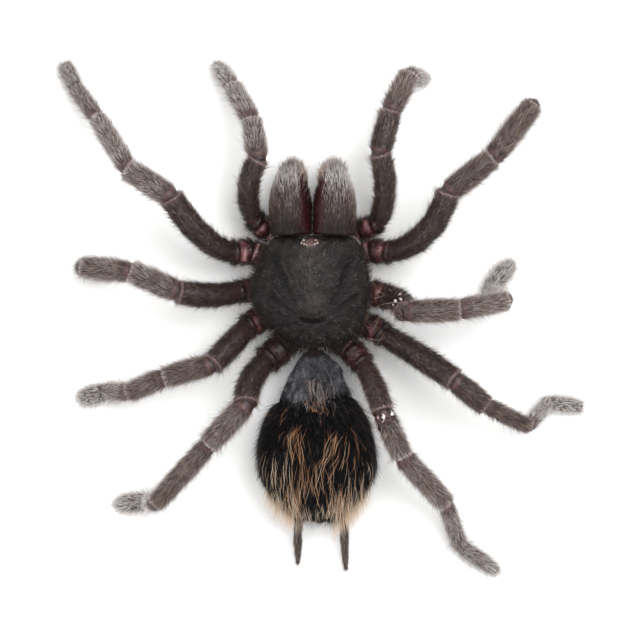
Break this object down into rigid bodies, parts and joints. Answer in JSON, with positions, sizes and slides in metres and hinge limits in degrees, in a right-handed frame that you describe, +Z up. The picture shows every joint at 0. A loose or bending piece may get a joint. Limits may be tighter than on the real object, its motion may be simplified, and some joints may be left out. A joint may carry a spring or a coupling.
{
  "type": "tarantula specimen",
  "caption": "Dried hairy spider specimen, set flat with its legs spread, resting on its feet.",
  "frame": {"origin": "centre of the bounding box on the surface that the feet rest on", "axes": "+Y towards the head, +X to the right of the specimen seen from above, +Z up, away from the surface"},
  "size_m": [0.0956, 0.0932, 0.0164],
  "materials": {
    "leg_fur": "matte: short brown-grey hair over dark brown cuticle",
    "foot_fur": "matte: pale silver-grey felt of short hair",
    "joint_cuticle": "satin: bare maroon cuticle with pale pink rims",
    "carapace_cuticle": "satin: near-black cuticle with fine silver hair",
    "chelicera_fur": "matte: silver-grey hair laid lengthwise, dark maroon inner side",
    "fang": "glossy black-brown",
    "abdomen_fur": "matte: blue-grey velvet in front, long black fur and orange-tan bristles behind",
    "spinneret_fur": "matte: short brown-grey hair"
  },
  "bodies": {
    "root": {"abdomen": "abdomen_fur", "carapace": "carapace_cuticle", "chelicera_left": "chelicera_fur", "chelicera_right": "chelicera_fur", "fang_left": "fang", "fang_right": "fang", "leg_1_left_base": "joint_cuticle", "leg_1_left_femur": "leg_fur", "leg_1_left_foot": "foot_fur", "leg_1_left_patella": "leg_fur", "leg_1_left_tibia": "leg_fur", "leg_1_right_base": "joint_cuticle", "leg_1_right_femur": "leg_fur", "leg_1_right_foot": "foot_fur", "leg_1_right_patella": "leg_fur", "leg_1_right_tibia": "leg_fur", "leg_2_left_base": "joint_cuticle", "leg_2_left_femur": "leg_fur", "leg_2_left_foot": "foot_fur", "leg_2_left_patella": "leg_fur", "leg_2_left_tibia": "leg_fur", "leg_2_right_base": "joint_cuticle", "leg_2_right_femur": "leg_fur", "leg_2_right_foot": "foot_fur", "leg_2_right_patella": "leg_fur", "leg_2_right_tibia": "leg_fur", "leg_3_left_base": "joint_cuticle", "leg_3_left_femur": "leg_fur", "leg_3_left_foot": "foot_fur", "leg_3_left_patella": "leg_fur", "leg_3_left_tibia": "leg_fur", "leg_3_right_base": "joint_cuticle", "leg_3_right_femur": "leg_fur", "leg_3_right_foot": "foot_fur", "leg_3_right_patella": "leg_fur", "leg_3_right_tibia": "leg_fur", "leg_4_left_base": "joint_cuticle", "leg_4_left_femur": "leg_fur", "leg_4_left_foot": "foot_fur", "leg_4_left_patella": "leg_fur", "leg_4_left_tibia": "leg_fur", "leg_4_right_base": "joint_cuticle", "leg_4_right_femur": "leg_fur", "leg_4_right_foot": "foot_fur", "leg_4_right_patella": "leg_fur", "leg_4_right_tibia": "leg_fur", "palp_left_base": "joint_cuticle", "palp_left_femur": "leg_fur", "palp_left_foot": "foot_fur", "palp_left_patella": "leg_fur", "palp_left_tibia": "leg_fur", "palp_right_base": "joint_cuticle", "palp_right_femur": "leg_fur", "palp_right_foot": "foot_fur", "palp_right_patella": "leg_fur", "palp_right_tibia": "leg_fur", "spinneret_left": "spinneret_fur", "spinneret_right": "spinneret_fur", "sternum": "joint_cuticle"}
  },
  "joints": []
}
